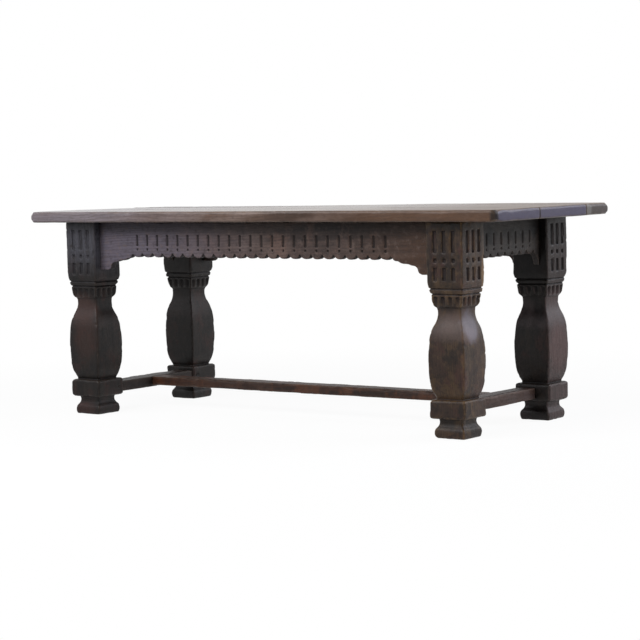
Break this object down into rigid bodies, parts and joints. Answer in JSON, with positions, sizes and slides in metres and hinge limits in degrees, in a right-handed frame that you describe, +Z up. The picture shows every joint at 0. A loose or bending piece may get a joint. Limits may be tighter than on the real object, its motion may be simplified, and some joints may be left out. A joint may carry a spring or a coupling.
{
  "type": "refectory table",
  "caption": "Long plank-topped dining table on square baluster legs, with scalloped and slotted aprons and a low H-shaped stretcher.",
  "frame": {"origin": "on the floor, under the middle of the table", "axes": "+X along the length of the table to the right end, -Y towards its front long side, +Z up"},
  "size_m": [2.076, 0.78, 0.77],
  "materials": {
    "top_oak": "aged dark oak, waxed and worn at the edges",
    "leg_oak": "aged blackish-brown oak, waxed, arrises worn lighter",
    "apron_oak": "aged blackish-brown oak, waxed",
    "stretcher_oak": "aged reddish-brown oak, worn by feet",
    "inner_oak": "plain oak",
    "screw_steel": "dull steel"
  },
  "bodies": {
    "root": {"top_board_front": "top_oak", "top_board_middle": "top_oak", "top_board_rear": "top_oak", "top_tongue_front": "inner_oak", "top_tongue_rear": "inner_oak", "leg_front_left": "leg_oak", "leg_front_right": "leg_oak", "leg_rear_left": "leg_oak", "leg_rear_right": "leg_oak", "apron_front": "apron_oak", "apron_rear": "apron_oak", "apron_left": "apron_oak", "apron_right": "apron_oak", "stretcher_left": "stretcher_oak", "stretcher_right": "stretcher_oak", "stretcher_long": "stretcher_oak", "apron_pegs_front_left": "inner_oak", "apron_pegs_front_right": "inner_oak", "apron_pegs_rear_left": "inner_oak", "apron_pegs_rear_right": "inner_oak", "stretcher_pegs_left": "inner_oak", "stretcher_pegs_right": "inner_oak", "stretcher_pegs_long": "inner_oak", "top_buttons_front": "inner_oak", "top_buttons_rear": "inner_oak", "top_buttons_left": "inner_oak", "top_buttons_right": "inner_oak", "button_screws": "screw_steel"}
  },
  "joints": []
}
